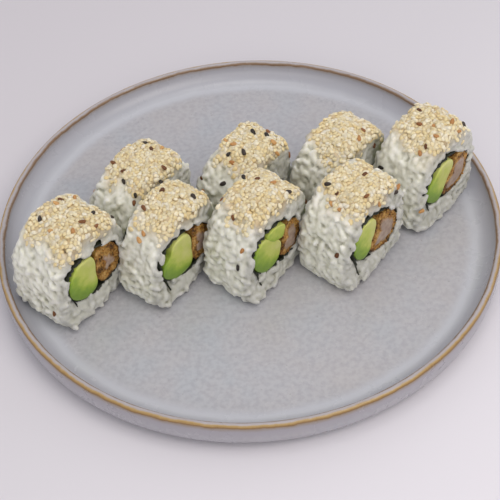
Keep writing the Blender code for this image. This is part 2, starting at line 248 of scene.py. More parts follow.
mottled = add_node(tree, "ShaderNodeMix", {"Factor": 1.0, 6: body_tone, 7: mottle_tone},
                   data_type="RGBA", blend_type="MULTIPLY")

# Iron specks in loose groups, 0.4 mm across with a soft edge out to 1 mm so that a few show.
SPECK_SPACING = 0.0034
SPECK_GROUP_SIZE = 0.00625
speck = add_node(tree, "ShaderNodeTexVoronoi", {"Vector": place, "Scale": 1 / SPECK_SPACING})
speck_share = add_node(tree, "ShaderNodeMapRange",
                       {"Value": speck, "From Min": 0.06, "From Max": 0.15, "To Min": 0.35,
                        "To Max": 0.0})
chance = add_node(tree, "ShaderNodeTexNoise", {"Vector": place, "Scale": 1 / SPECK_GROUP_SIZE})
chosen = add_node(tree, "ShaderNodeMapRange", {"Value": chance, "From Min": 0.50, "From Max": 0.62})
speckle = add_node(tree, "ShaderNodeMath", {0: speck_share, 1: chosen}, operation="MULTIPLY")
specked = add_node(tree, "ShaderNodeMix", {"Factor": speckle, 6: mottled, 7: colour("6F6A68")},
                   data_type="RGBA")

# By the distance over the glaze from the rim's crest, pushed about by slow noise: brown where the
# glaze breaks on both edges of the rim, and a pale band at the foot of the wall, a painted highlight.
FLOW_SIZE = 0.01111
FLOW_PUSH = 0.0014
RIM_BAND = (-0.022, 0.010)    # from the edge of the floor to below the rim outside
crest_run = add_node(tree, "ShaderNodeAttribute", attribute_name="from_crest").outputs["Fac"]
flow = add_node(tree, "ShaderNodeTexNoise",
                {"Vector": place, "Scale": 1 / FLOW_SIZE, "Detail": 5.0, "Roughness": 0.6})
pushed = add_node(tree, "ShaderNodeMapRange",
                  {"Value": flow, "To Min": -FLOW_PUSH, "To Max": FLOW_PUSH})
run_here = add_node(tree, "ShaderNodeMath", {0: crest_run, 1: pushed}, operation="ADD")
rim_share = add_node(tree, "ShaderNodeMapRange",
                     {"Value": run_here, "From Min": RIM_BAND[0], "From Max": RIM_BAND[1]})
# The pale stops up to 0.255 are a painted highlight round the foot of the wall; the brown stops are the
# glaze breaking on the rim's two edges.
rim_breaks_and_painted_highlight = add_node(tree, "ShaderNodeValToRGB", {"Fac": rim_share},
                    [(0.06, "BBBCC2"), (0.15, "BFC1C8"), (0.215, "C2C4CB"), (0.255, "BBBDC4"),
                     (0.34, "B0B1B9"), (0.55, "ACABB2"), (0.600, "A39A96"), (0.617, "7E634A"),
                     (0.641, "866C54"), (0.658, "A39994"), (0.676, "B1ACB2"), (0.698, "AAA09A"),
                     (0.714, "B0935F"), (0.736, "9A7A48"), (0.750, "80633C"), (0.772, "978A80"),
                     (0.83, "A29EA5")])
near_rim = add_node(tree, "ShaderNodeValToRGB", {"Fac": rim_share},
                    [(0.03, "000000"), (0.16, "FFFFFF"), (0.84, "FFFFFF"), (0.98, "C0C0C0")])
glazed = add_node(tree, "ShaderNodeMix", {"Factor": near_rim, 6: specked, 7: rim_breaks_and_painted_highlight},
                  data_type="RGBA")
peel = add_node(tree, "ShaderNodeTexNoise", {"Vector": place, "Scale": 1 / PEEL_SIZE})
relief = add_node(tree, "ShaderNodeBump", {"Height": peel, "Strength": 0.06, "Distance": PEEL_HEIGHT})
satin = add_node(tree, "ShaderNodeMapRange", {"Value": cloud, "To Min": 0.20, "To Max": 0.34})
feed(shader, {"Base Color": glazed, "Normal": relief, "Roughness": satin})

plate_points, plate_faces, from_crest = turned_plate()
new_piece("stoneware_plate", plate_points, plate_faces, glaze, ["plate"],
          {"from_crest": from_crest})


# Rice
# Short-grained sushi rice, cooked, seasoned and pressed out in a layer of 6 to 10 mm round the
# nori. The grains cling together in a damp white mass, loosest at the base and the cut edges.

REST_GAP = 0.00035            # the rolls stand this far clear of the glaze
RING_HALF_WIDTH = 0.0172
RING_HALF_HEIGHT = 0.0130
RING_SQUARENESS = 2.4
GRAIN_SIZE = (0.0062, 0.0029, 0.0025)
GRAIN_VARIES = (0.85, 1.15)
GRAIN_TILT = 0.22
GRAINS_ON_A_ROLL = 700
GRAIN_TRIES = 7
GRAIN_SPACING = 0.0021
GRAIN_SUNK = (-0.0006, 0.0010)
CUT_FACING = 0.75             # how squarely a cut face looks along the roll
CUT_GRAIN = (0.8, 1.0, 0.75)  # the knife leaves grains shorter and flatter
CUT_GRAIN_TILT = 0.05
UNDER_FACING = -0.6           # no grains under the roll, this near the floor
UNDER_REACH = 0.002
LAPPING_GRAINS = 34           # on each cut face, lying over the nori's edge
LAPPING_OUT = (0.0003, 0.0017)
LAPPING_PROUD = (-0.0008, 0.0003)
LAPPING_SWING = 0.6
LAPPING_VARIES = (0.7, 1.05)
NORI_SHOWS = ((96, 150), (196, 240))      # degrees round the face, at the notch and the seam
CORE_VOXEL = 0.0011
CORE_SMOOTHING = 6
RICE_VOXEL = 0.00066
RICE_SMOOTHING = 1
CREVICE_ROUNDS = 5            # neighbours over which a crevice is told from its surroundings
CREVICE_DEPTH = 0.00035
CRUST_STARTS = 0.79           # share of the height where the first seeds lie
CRUST_FULL = 0.97
CRUST_PATCHY = 0.10
CRUST_PATCH_SIZE = 0.009
CRUST_LEANS = 0.06            # the crust reaches lower towards the cut face in front
CORE_SUNK = 0.0002
LUMP_SIZE = 0.0055
LUMP_HEIGHT = 0.0017
CLEAR_OF_NORI = 0.0016
CRUST_SHADE_AND_OIL = 0.8                   # how strongly the rice under the crust darkens: painted shade between the seeds, and their oil
CUT_SHADE_EDGE = (0.0035, 0.0015)   # depths behind the cut where its painted grey shade starts and is full

# Turn and tilt are in degrees. Filled is the filling's size against the full one, and rise the
# height of its middle over the foot of the roll.
Roll = namedtuple("Roll", "place turn length width height filled rise tilt")
ROLLS = {
    1: Roll((-0.0858, -0.0298), 48, 0.0345, 0.0460, 0.0465, 1.0, 0.0236, 2),
    2: Roll((-0.0395, -0.0240), 48, 0.0254, 0.0460, 0.0465, 1.0, 0.0236, -5),
    3: Roll((0.0025, -0.0224), 47, 0.0285, 0.0460, 0.0480, 1.0, 0.0236, -9),
    4: Roll((0.0490, -0.0187), 46, 0.0300, 0.0460, 0.0480, 1.0, 0.0236, -20),
    5: Roll((-0.0540, 0.0082), 47, 0.0310, 0.0465, 0.0420, 0.84, 0.0160, -6),
    6: Roll((-0.0028, 0.0152), 46, 0.0285, 0.0440, 0.0415, 0.84, 0.0160, -8),
    7: Roll((0.0449, 0.0209), 45, 0.0285, 0.0455, 0.0420, 0.84, 0.0160, -12),
    8: Roll((0.0883, 0.0172), 45, 0.0310, 0.0460, 0.0480, 1.0, 0.0236, -6),
}


def roll_axes(roll):
    """The roll's own axes, as the rows of a rotation, and its origin on the plate."""
    turn = math.radians(roll.turn - 90)
    axes = np.array([(math.cos(turn), math.sin(turn), 0.0), (-math.sin(turn), math.cos(turn), 0.0),
                     (0.0, 0.0, 1.0)])
    return axes, np.array([*roll.place, FLOOR_HEIGHT + REST_GAP])


def to_roll(points, roll):
    axes, origin = roll_axes(roll)
    return (points - origin) @ axes.T


def from_roll(points, roll):
    axes, origin = roll_axes(roll)
    return points @ axes + origin


def ring_point(roll, angle):
    """Point on the oval that the nori follows, turned with the filling."""
    power = 2.0 / RING_SQUARENESS
    across = math.copysign(RING_HALF_WIDTH * abs(math.cos(angle)) ** power, math.cos(angle))
    up = math.copysign(RING_HALF_HEIGHT * abs(math.sin(angle)) ** power, math.sin(angle))
    turned = Matrix.Rotation(math.radians(roll.tilt), 2) @ Vector((across, up))
    return roll.filled * turned + Vector((0.0, roll.rise))


def read_out(items, label, kind=float):
    """Three values of each item of a mesh, one row for each."""
    values = np.empty(len(items) * 3, dtype=kind)
    items.foreach_get(label, values)
    return values.reshape(-1, 3)


def bead(rings, segments, blunt, bend):
    """A seed or grain of unit size: its points, and its faces as triangles."""
    points = [(-0.5, 0.0, 0.0)]
    for ring in range(1, rings):
        along = -math.cos(math.pi * ring / rings)
        girth = (1.0 - abs(along) ** blunt) ** 0.5
        for step in range(segments):
            angle = 2 * math.pi * step / segments
            points.append((along / 2, girth * math.cos(angle) / 2 + bend * along * along,
                           girth * math.sin(angle) / 2))
    points.append((0.5, 0.0, 0.0))
    faces = []
    end = len(points) - 1
    for step in range(segments):
        there = (step + 1) % segments
        faces.append((0, 1 + there, 1 + step))
        faces.append((end, end - segments + step, end - segments + there))
        for ring in range(rings - 2):
            a, b = 1 + ring * segments + step, 1 + ring * segments + there
            faces += [(a, b, b + segments), (a, b + segments, a + segments)]
    return np.array(points), np.array(faces)


def unit(vectors):
    return vectors / np.linalg.norm(vectors, axis=1, keepdims=True)


def frames_on(normals, rng, tilt):
    """Axes for things that lie on a surface at random: along, across and out from it."""
    aside = rng.normal(size=normals.shape)
    along = unit(aside - (aside * normals).sum(1, keepdims=True) * normals)
    along = unit(along + normals * rng.normal(scale=tilt, size=(len(normals), 1)))
    across = unit(np.cross(normals, along))
    return np.stack([along, across, np.cross(along, across)], 1)


def strewn(shape, places, axes, sizes):
    """Copies of a bead, each at its place and on its axes, with its own size."""
    points, _ = shape
    return np.einsum("vk,nk,nkj->nvj", points, sizes, axes) + places[:, None]


def joined(copies, shape):
    """All the copies as one list of points and one of faces."""
    _, faces = shape
    count = copies.shape[1]
    starts = np.arange(len(copies)) * count
    return copies.reshape(-1, 3), (faces[None] + starts[:, None, None]).reshape(-1, 3)


def spread_out(places, spacing, most):
    """Indices of places, in order, that keep a spacing from each other."""
    taken = []
    kept = np.empty((most, 3))
    for index, spot in enumerate(places):
        count = len(taken)
        if count == most:
            break
        if not count or ((kept[:count] - spot) ** 2).sum(1).min() > spacing * spacing:
            kept[count] = spot
            taken.append(index)
    return np.array(taken)


def remeshed(mesh, voxel, rounds):
    """A mesh rebuilt with small even faces and smoothed: its points, triangles and normals."""
    body = in_scene("rice", mesh)
    remesh = body.modifiers.new("remesh", "REMESH")
    remesh.mode = "VOXEL"
    remesh.voxel_size = voxel
    soften = body.modifiers.new("soften", "SMOOTH")
    soften.iterations = rounds
    made = body.evaluated_get(bpy.context.evaluated_depsgraph_get()).to_mesh()
    made.calc_loop_triangles()
    surface = (read_out(made.vertices, "co"), read_out(made.loop_triangles, "vertices", int),
               read_out(made.vertex_normals, "vector"))
    bpy.data.objects.remove(body)
    return surface


def random_spots(points, faces, normals, rng, count):
    """Evenly random places on a surface, with their normals."""
    corners = points[faces]
    square = np.cross(corners[:, 1] - corners[:, 0], corners[:, 2] - corners[:, 0])
    area = np.linalg.norm(square, axis=1)
    picked = rng.choice(len(faces), size=count, p=area / area.sum())
    weights = rng.dirichlet((1.0, 1.0, 1.0), size=count)[:, :, None]
    return (corners[picked] * weights).sum(1), unit((normals[faces[picked]] * weights).sum(1))


def lifted(copies):
    """Copies raised where they would cut into the glaze, and kept inside the plate's wall."""
    radius = np.linalg.norm(copies[:, :, :2], axis=2)
    inmost = WALL_INSIDE - REST_GAP
    over = np.clip(radius.max(1) - inmost, 0.0, None) / radius.max(1)
    copies[:, :, :2] *= (1.0 - over)[:, None, None]
    radius = np.linalg.norm(copies[:, :, :2], axis=2)
    short = (plate_surface(radius) + REST_GAP / 2 - copies[:, :, 2]).max(1)
    copies[:, :, 2] += np.clip(short, 0.0, None)[:, None]
    return copies


def rice_grains(number, core, rng):
    """Grains half sunk in the core all over its outside and its cut faces."""
    spots, out = random_spots(*core, rng, GRAIN_TRIES * GRAINS_ON_A_ROLL)
    axes, _ = roll_axes(ROLLS[number])
    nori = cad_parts[f"nori_{number}"].data
    sheet = BVHTree.FromPolygons(read_out(nori.vertices, "co").tolist(),
                                 [tuple(face.vertices) for face in nori.polygons])
    clear = np.array([sheet.find_nearest(Vector(spot))[3] for spot in spots]) > CLEAR_OF_NORI
    low = (out[:, 2] < UNDER_FACING) & (spots[:, 2] < FLOOR_HEIGHT + UNDER_REACH)
    spots, out = spots[clear & ~low], out[clear & ~low]
    kept = spread_out(spots, GRAIN_SPACING, GRAINS_ON_A_ROLL)
    spots, out = spots[kept], out[kept]

    on_cut = np.abs(out @ axes[0]) > CUT_FACING
    sizes = np.array(GRAIN_SIZE) * rng.uniform(*GRAIN_VARIES, (len(spots), 1))
    sizes[on_cut] *= CUT_GRAIN
    sunk = rng.uniform(*GRAIN_SUNK, (len(spots), 1))
    lie = frames_on(out, rng, GRAIN_TILT)
    lie[on_cut] = frames_on(out[on_cut], rng, CUT_GRAIN_TILT)
    return lifted(strewn(GRAIN, spots - out * sunk, lie, sizes))


def lapping_grains(roll, rng):
    """Grains at both cuts that lie over the nori's edge, except where it shows."""
    copies = []
    for side in (1, -1):
        for _ in range(LAPPING_GRAINS):
            angle = rng.uniform(0, 360)
            if any(low < angle < high for low, high in NORI_SHOWS):
                continue
            edge = ring_point(roll, math.radians(angle))
            out = (edge - Vector((0.0, roll.rise))).normalized()
            spot = edge + out * rng.uniform(*LAPPING_OUT)
            swing = rng.normal(scale=LAPPING_SWING)
            round_it, away = np.array([0.0, -out.y, out.x]), np.array([0.0, *out])
            along = round_it * math.cos(swing) + away * math.sin(swing)
            lie = np.array([along, np.cross((1.0, 0.0, 0.0), along), (1.0, 0.0, 0.0)])
            size = np.array(GRAIN_SIZE) * rng.uniform(*LAPPING_VARIES)
            place = np.array([side * (roll.length / 2 + rng.uniform(*LAPPING_PROUD)), *spot])
            copies.append(strewn(GRAIN, place[None], lie[None], size[None])[0])
    return from_roll(np.array(copies), roll)


def crevices(points, faces, normals):
    """How deep each point lies among its surroundings, from 0 in a crevice to 1 on a grain: the
    measure by which the rice's crevices get painted shade.
    """
    edges = np.concatenate([faces[:, :2], faces[:, 1:], faces[:, ::2]])
    count = np.bincount(edges.ravel(), minlength=len(points))[:, None]
    smooth = points
    for _ in range(CREVICE_ROUNDS):
        total = np.zeros_like(points)
        np.add.at(total, edges[:, 0], smooth[edges[:, 1]])
        np.add.at(total, edges[:, 1], smooth[edges[:, 0]])
        smooth = total / count
    proud = ((points - smooth) * normals).sum(1)
    return np.clip(0.5 + 0.5 * proud / CREVICE_DEPTH, 0.0, 1.0)


def crust_share(spots, roll):
    """How thickly sesame lies at each spot: full on top of the roll, none down its sides."""
    here = to_roll(spots, roll)
    patchy = np.array([noise.noise(Vector(spot) / CRUST_PATCH_SIZE) for spot in spots])
    height = here[:, 2] / roll.height + CRUST_PATCHY * patchy + CRUST_LEANS * here[:, 0] / roll.length
    return np.clip((height - CRUST_STARTS) / (CRUST_FULL - CRUST_STARTS), 0.0, 1.0)


def cut_face_shade(points, roll):
    """1 on the roll's two cut faces, where painted shade greys the rice, and 0 along it."""
    from_cut = roll.length / 2 - np.abs(to_roll(points, roll)[:, 0])
    return np.clip((CUT_SHADE_EDGE[0] - from_cut) / (CUT_SHADE_EDGE[0] - CUT_SHADE_EDGE[1]), 0.0, 1.0)


def lumpy(core):
    """The core sunk under its grains, with lumps of about a grain's size."""
    points, _, normals = core
    lumps = [noise.noise(Vector(spot) / LUMP_SIZE) for spot in points]
    sunk = np.array(lumps) * LUMP_HEIGHT - CORE_SUNK
    return points + normals * sunk[:, None]


GRAIN = bead(6, 8, 3.0, 0.10)

# Cooked rice: damp and translucent at its edges, so light spreads through a grain and the mass
# looks soft, white with a little cream. The tone changes from grain to grain and within a grain;
# the crevices between the grains are darkened with painted shade, more in some broad patches.
TINT_SIZE = 0.003846
DAMP_SIZE = 0.002
CREVICE_SHADE_PATCH_SIZE = 0.01333
DAMP_HEIGHT = 0.0003
rice_look, tree, shader = new_material("cooked_sushi_rice", Roughness=0.42, IOR=1.36,
                                       Subsurface_Weight=0.40, Subsurface_Scale=0.0025,
                                       Subsurface_Radius=(1.0, 0.95, 0.80))
place = add_node(tree, "ShaderNodeTexCoord").outputs["Object"]
grain = add_node(tree, "ShaderNodeTexNoise", {"Vector": place, "Scale": 1 / TINT_SIZE, "Detail": 1.0})
grain_tone = add_node(tree, "ShaderNodeValToRGB", {"Fac": grain},
                      [(0.30, "E6E5DB"), (0.50, "EEEDE4"), (0.72, "F5F4EE")])
damp = add_node(tree, "ShaderNodeTexNoise", {"Vector": place, "Scale": 1 / DAMP_SIZE, "Detail": 3.0})
damp_tone = add_node(tree, "ShaderNodeValToRGB", {"Fac": damp}, [(0.30, "F0F1EA"), (0.65, "FFFFFF")])
rice_tone = add_node(tree, "ShaderNodeMix", {"Factor": 1.0, 6: grain_tone, 7: damp_tone},
                     data_type="RGBA", blend_type="MULTIPLY")
# Painted shade: rice that lies deep in a crevice between grains is darkened and greyed.
height = add_node(tree, "ShaderNodeAttribute", attribute_name="height").outputs["Fac"]
painted_crevice_shade = add_node(tree, "ShaderNodeValToRGB", {"Fac": height},
                        [(0.05, "BBBAAF"), (0.25, "DCDBD2"), (0.50, "F6F6F2"), (0.85, "FFFFFF")])
broad = add_node(tree, "ShaderNodeTexNoise", {"Vector": place, "Scale": 1 / CREVICE_SHADE_PATCH_SIZE, "Detail": 1.0})
crevice_shade_share = add_node(tree, "ShaderNodeMapRange",
                 {"Value": broad, "From Min": 0.35, "From Max": 0.65, "To Min": 0.35})
shaded = add_node(tree, "ShaderNodeMix", {"Factor": crevice_shade_share, 6: rice_tone, 7: painted_crevice_shade},
                  data_type="RGBA", blend_type="MULTIPLY")

# Under the crust the rice is darkened to a golden tan, painted shade between the seeds with a tint of
# # their oil; on the cut faces the rice is greyed with painted shade.
# Painted shade and oil: the rice under the seeds is mixed towards a golden tan.
crust_shade_and_oil = add_node(tree, "ShaderNodeAttribute", attribute_name="crust_shade_and_oil").outputs["Fac"]
shade_and_oil_under_crust = add_node(tree, "ShaderNodeMix", {"Factor": crust_shade_and_oil, 6: shaded, 7: colour("C9AC78")},
                 data_type="RGBA")
# Painted shade: the rice on the cut faces is greyed.
painted_cut_shade = add_node(tree, "ShaderNodeAttribute", attribute_name="painted_cut_shade").outputs["Fac"]
with_cut_shade = add_node(tree, "ShaderNodeMix", {"Factor": painted_cut_shade, 6: shade_and_oil_under_crust, 7: colour("D8D8DA")},
                  data_type="RGBA", blend_type="MULTIPLY")
skin = add_node(tree, "ShaderNodeBump", {"Height": damp, "Strength": 0.15, "Distance": DAMP_HEIGHT})
feed(shader, {"Base Color": with_cut_shade, "Normal": skin})

rice_surface = {}
cores = {}
for number in ROLLS:
    rng = np.random.default_rng(100 + number)
    core = remeshed(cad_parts[f"rice_{number}"].data.copy(), CORE_VOXEL, CORE_SMOOTHING)
    cores[number] = core
    bed = lumpy(core)
    grains = np.concatenate([rice_grains(number, core, rng), lapping_grains(ROLLS[number], rng)])
    grain_points, grain_faces = joined(grains, GRAIN)
    heaped = bpy.data.meshes.new("heaped")
    heaped.from_pydata(np.concatenate([bed, grain_points]), [],
                       np.concatenate([core[1], grain_faces + len(bed)]).tolist())
    points, faces, normals = remeshed(heaped, RICE_VOXEL, RICE_SMOOTHING)
    new_piece(f"rice_of_roll_{number}", points, faces.tolist(), rice_look, [f"rice_{number}"],
              {"height": crevices(points, faces, normals),
               "crust_shade_and_oil": CRUST_SHADE_AND_OIL * crust_share(points, ROLLS[number]) ** 2,
               "painted_cut_shade": cut_face_shade(points, ROLLS[number])})
    rice_surface[number] = BVHTree.FromPolygons(points.tolist(), faces.tolist())


# Sesame
# Hulled sesame pressed into the top of each roll in a thick crust, lightly toasted, cream to pale
# straw, with unhulled black, brown and toasted seeds strewn among it.

SEED_SIZE = (0.0030, 0.0020, 0.0010)
SEED_VARIES = (0.85, 1.12)
SEED_BLUNT = 2.6
SEED_TAPER = 0.55
SEED_FULL = 1.12
HULLED_TILT = 0.25
UNHULLED_TILT = 0.10
HULLED_ON_A_ROLL = 520
SEED_TRIES = 22
HULLED_SPACING = 0.0011
SEED_REACH = 0.005            # seeds are laid on the rice from this far off
UNHULLED_LIFT = 0.0003        # the hulled seeds are half sunk in the rice, the dark ones less
UNHULLED_SIZE = (0.0033, 0.0017, 0.0010)
STRAY_TRIES = 60
STRAY_FACING = 0.1            # a stray faces away from the camera, and not down

# Where the photograph shows unhulled seeds, as columns and rows of its frame. A few strays more
# lie on the side of each roll that it doesn't show.
BLACK_SEED_PIXELS = (
    (39.6, 218.8), (92.4, 213.4), (144.7, 143), (123.8, 181.5), (161.4, 182.5), (135.5, 195.3),
    (193.5, 196.5), (222.9, 183.8), (243.7, 177.8), (228.6, 154.2), (243.7, 152.1), (253.1, 132.1),
    (266.9, 135.3), (288.8, 191.7), (381.1, 167.7), (327.8, 183.8), (394.9, 192.5), (463.5, 124.6),
    (238.2, 267.7))
BROWN_SEED_PIXELS = (
    (82.1, 221.9), (95.9, 226), (60.9, 200.1), (151.7, 149.6), (113.2, 162.7), (123.1, 171),
    (163.8, 167.7), (161.7, 190.4), (134, 203.2), (143.8, 208), (202.5, 178.7), (268.2, 132.1),
    (257.3, 178.7), (305.4, 201), (233.1, 217.6), (192.9, 180.6), (363, 130.2), (374, 145.6),
    (364.4, 175), (336.9, 194.2), (367, 195.8), (419.3, 124.2), (419.3, 110.1), (426, 146.3),
    (54.5, 313.5), (337.6, 254.7))
TOASTED_SEED_PIXELS = (
    (56, 203.5), (74.6, 198.1), (51.1, 230.9), (72.9, 231.4), (161.5, 148.3), (143.4, 233.5),
    (139, 240), (225.4, 141), (233.5, 144.2), (273.3, 141.9), (277.3, 153.4), (232.2, 162.7),
    (273.3, 182.5), (203.7, 190.2), (359, 138.2), (331.3, 203.8), (339.6, 209.9), (379.1, 203.8),
    (397.9, 186.7), (452.1, 121.7), (458.1, 131.3), (436, 136.2), (434.7, 126.2), (420, 153.2),
    (242, 251), (421.3, 211.2), (60.9, 325.6))


def laid_on(surfaces, starts, ways):
    """Where rays first meet any of the surfaces, with the normal there leant towards the ray's
    start; misses are left out."""
    places, normals = [], []
    for start, way in zip(starts, ways):
        way = Vector(way)
        hits = [surface.ray_cast(Vector(start), way) for surface in surfaces]
        hits = [hit for hit in hits if hit[0] is not None]
        if hits:
            spot, normal, _, _ = min(hits, key=lambda hit: hit[3])
            normal = normal if normal.dot(way) < 0 else -normal
            places.append(spot)
            normals.append((normal - way).normalized())
    return np.array(places), np.array(normals)


def crust_spots(number, rng):
    """Places for hulled seeds, dense on top and thinning down the sides."""
    spots, out = random_spots(*cores[number], rng, SEED_TRIES * HULLED_ON_A_ROLL)
    facing = np.clip(out[:, 2] * 1.6 + 0.15, 0.0, 1.0)
    keep = rng.random(len(spots)) < crust_share(spots, ROLLS[number]) ** 3 * facing
    spots, out = spots[keep], out[keep]
    kept = spread_out(spots, HULLED_SPACING, HULLED_ON_A_ROLL)
    return spots[kept], out[kept]


def seeds_on(places, normals, rng, tilt, size, shape):
    sizes = np.array(size) * rng.uniform(*SEED_VARIES, (len(places), 1))
    return strewn(shape, places, frames_on(normals, rng, tilt), sizes)


def sesame_look(name, stops, roughness):
    """Sesame seed: a thin matt hull or the waxy kernel, each seed of its own tone."""
    made, tree, shader = new_material(name, Roughness=roughness, IOR=1.45, Subsurface_Weight=0.40,
                                      Subsurface_Scale=0.0020, Subsurface_Radius=(1.0, 0.85, 0.60))
    tone = add_node(tree, "ShaderNodeAttribute", attribute_name="tone").outputs["Fac"]
    seed_tone = add_node(tree, "ShaderNodeValToRGB", {"Fac": tone}, stops)
    feed(shader, {"Base Color": seed_tone})
    return made


def seed_piece(name, copies, shape, look, rng):
    points, faces = joined(copies, shape)
    tones = np.repeat(rng.random(len(copies)), copies.shape[1])
    new_piece(name, points, faces.tolist(), look, attributes={"tone": tones})
    return BVHTree.FromPolygons(points.tolist(), faces.tolist())


def seed_shape(rings, segments):
    """A seed with one blunt and one pointed end."""
    points, faces = bead(rings, segments, SEED_BLUNT, 0.0)
    points[:, 1:] *= SEED_FULL - SEED_TAPER * points[:, :1]
    return points, faces


HULLED_SEED = seed_shape(5, 6)
UNHULLED_SEED = seed_shape(9, 10)

rng = np.random.default_rng(40)
hulled = []
for number, surface in rice_surface.items():
    spots, out = crust_spots(number, rng)
    places, normals = laid_on([surface], spots + out * SEED_REACH, -out)
    hulled.append(seeds_on(places, normals, rng, HULLED_TILT, SEED_SIZE, HULLED_SEED))
hulled_look = sesame_look("hulled_sesame_seed", [(0.0, "E3CA96"), (0.30, "EAD6A8"), (0.70, "EFDFB9"),
                                                 (1.0, "F5EAD0")], 0.45)
crust = seed_piece("hulled_sesame", np.concatenate(hulled), HULLED_SEED, hulled_look, rng)

solids = [*rice_surface.values(), crust]
for name, pixels, stops, strays in (
        ("black_sesame", BLACK_SEED_PIXELS, [(0.0, "1C1814"), (1.0, "3A2F28")], 1),
        ("brown_sesame", BROWN_SEED_PIXELS, [(0.0, "5A3418"), (1.0, "8A5A30")], 2),
        ("toasted_sesame", TOASTED_SEED_PIXELS, [(0.0, "A87440"), (1.0, "C89C64")], 2)):
    places, normals = laid_on(solids, [eye] * len(pixels), [towards_pixel(*pixel) for pixel in pixels])
    for number in ROLLS:
        spots, out = random_spots(*cores[number], rng, STRAY_TRIES)
        behind = (out @ np.array(back) < STRAY_FACING) & (out[:, 2] > STRAY_FACING)
        spots, out = spots[behind][:strays], out[behind][:strays]
        more = laid_on(solids, spots + out * SEED_REACH, -out)
        if len(more[0]):
            places = np.concatenate([places, more[0]])
            normals = np.concatenate([normals, more[1]])
    places = places + UNHULLED_LIFT * normals
    seeds = seeds_on(places, normals, rng, UNHULLED_TILT, UNHULLED_SIZE, UNHULLED_SEED)
    seed_piece(name, seeds, UNHULLED_SEED, sesame_look(name + "_seed", stops, 0.50), rng)


# Nori
# One roasted sheet of seaweed, wrapped round the filling with its end run out through the rice at
# the lower left, wrinkled, and torn ragged by the knife. A real sheet is 0.2 mm thick; this one is
# drawn at 0.4 mm so that its edge shows.

NORI_THICKNESS = 0.0004
NORI_STEPS_ROUND = 72
NORI_STEPS_TAIL = 10
NORI_STEPS_ALONG = 26
SEAM_AT_NORI = math.radians(210)
SEAM_AT_OUTSIDE = math.radians(238)
SEAM_GAP = math.radians(3)
WAIST_SHARE = 0.40
WRINKLE = 0.00045
WRINKLE_SIZE = 0.004
RAGGED = 0.0015
RAGGED_SIZE = 0.0016
RAGGED_NEAR_EDGE = 8          # the power that keeps the tearing close to the cuts
NORI_INSIDE = 0.0004          # the knife drags its edge in round the filling
TAIL_PROUD = 0.0002           # and the end in the rice stands out a little
TAIL_SHORT = 0.06             # share of its way that the end stays short of the outside


def nori_line(roll):
    """The sheet's path across the face: in along the seam from the foot of the rice, then once
    round the filling."""
    corner = ring_point(roll, SEAM_AT_NORI)
    foot = Vector((-roll.height * WAIST_SHARE / math.tan(SEAM_AT_OUTSIDE), 0.0))
    end = foot.lerp(corner, TAIL_SHORT)
    line = [end.lerp(corner, step / NORI_STEPS_TAIL) for step in range(NORI_STEPS_TAIL)]
    first = SEAM_AT_NORI - SEAM_GAP
    last = SEAM_AT_NORI - 2 * math.pi + SEAM_GAP
    for step in range(NORI_STEPS_ROUND + 1):
        line.append(ring_point(roll, first + (last - first) * step / NORI_STEPS_ROUND))
    return line


def nori_sheet(number, roll):
    line = nori_line(roll)
    half = roll.length / 2
    points = []
    for row, (y, z) in enumerate(line):
        there = line[min(row + 1, len(line) - 1)] - line[max(row - 1, 0)]
        out = Vector((there.y, -there.x)).normalized()
        for column in range(NORI_STEPS_ALONG + 1):
            share = 2 * column / NORI_STEPS_ALONG - 1
            ragged = noise.noise(Vector((y / RAGGED_SIZE, z / RAGGED_SIZE, number + share)))
            edge = half + (TAIL_PROUD if row < NORI_STEPS_TAIL else -NORI_INSIDE)
            x = share * (edge + RAGGED * ragged * abs(share) ** RAGGED_NEAR_EDGE)
            spot = Vector((x, y, z)) / WRINKLE_SIZE + Vector((0.0, 0.0, 7.0 * number))
            push = WRINKLE * noise.noise(spot)
            points.append((x, y + out.x * push, z + out.y * push))
    width = NORI_STEPS_ALONG + 1
    faces = [(a, a + 1, a + 1 + width, a + width)
             for row in range(len(line) - 1) for a in range(row * width, row * width + width - 1)]
    return from_roll(np.array(points), roll), faces


# Roasted nori: thin, dry and nearly black, with a green cast and a faint crinkled sheen.
FIBRE_SIZE = 0.001429
CRINKLE_HEIGHT = 0.0003
nori_look, tree, shader = new_material("roasted_nori", Roughness=0.50, IOR=1.45)
place = add_node(tree, "ShaderNodeTexCoord").outputs["Object"]
fibre = add_node(tree, "ShaderNodeTexNoise", {"Vector": place, "Scale": 1 / FIBRE_SIZE, "Detail": 4.0})
nori_tone = add_node(tree, "ShaderNodeValToRGB", {"Fac": fibre}, [(0.35, "161A12"), (0.65, "2C3020")])
crinkle = add_node(tree, "ShaderNodeBump",
                   {"Height": fibre, "Strength": 0.5, "Distance": CRINKLE_HEIGHT})
feed(shader, {"Base Color": nori_tone, "Normal": crinkle})

for number, roll in ROLLS.items():
    points, faces = nori_sheet(number, roll)
    sheet = new_piece(f"nori_of_roll_{number}", points, faces, nori_look, [f"nori_{number}"])
    thick = sheet.modifiers.new("thickness", "SOLIDIFY")
    thick.thickness = NORI_THICKNESS
    thick.offset = 0.0


# Avocado
# Ripe slices cut the length of the fruit and laid along the roll, soft and smooth: yellow-green
# within and a stronger green towards what was the skin side.

FILLING_STEPS = 64
AGAINST_NORI = 0.0010         # soft fillings press out against the sheet
FILLING_CAP_RINGS = 9
FILLING_STEPS_ALONG = 14
SOFT_EDGE = 0.0008
SLICE_PROUD = 0.0004
SLICE_WAVE = 0.0003
SLICE_WAVE_SIZE = 0.006
NARROW_TOP = {1: 0.10, 2: 0.40, 3: 0.08, 4: 0.04, 8: 0.26}       # a dark gap at the upper left
NARROW_ELSEWHERE = 0.10
NARROW_AT = math.radians(135)
NARROW_SPREAD = math.radians(32)
GREENER = {"avocado_3_upper": 0.35}          # a slice cut nearer the skin
SOFT_EDGE_SHARE = 0.96        # how far out a cut face is flat, before its edge turns


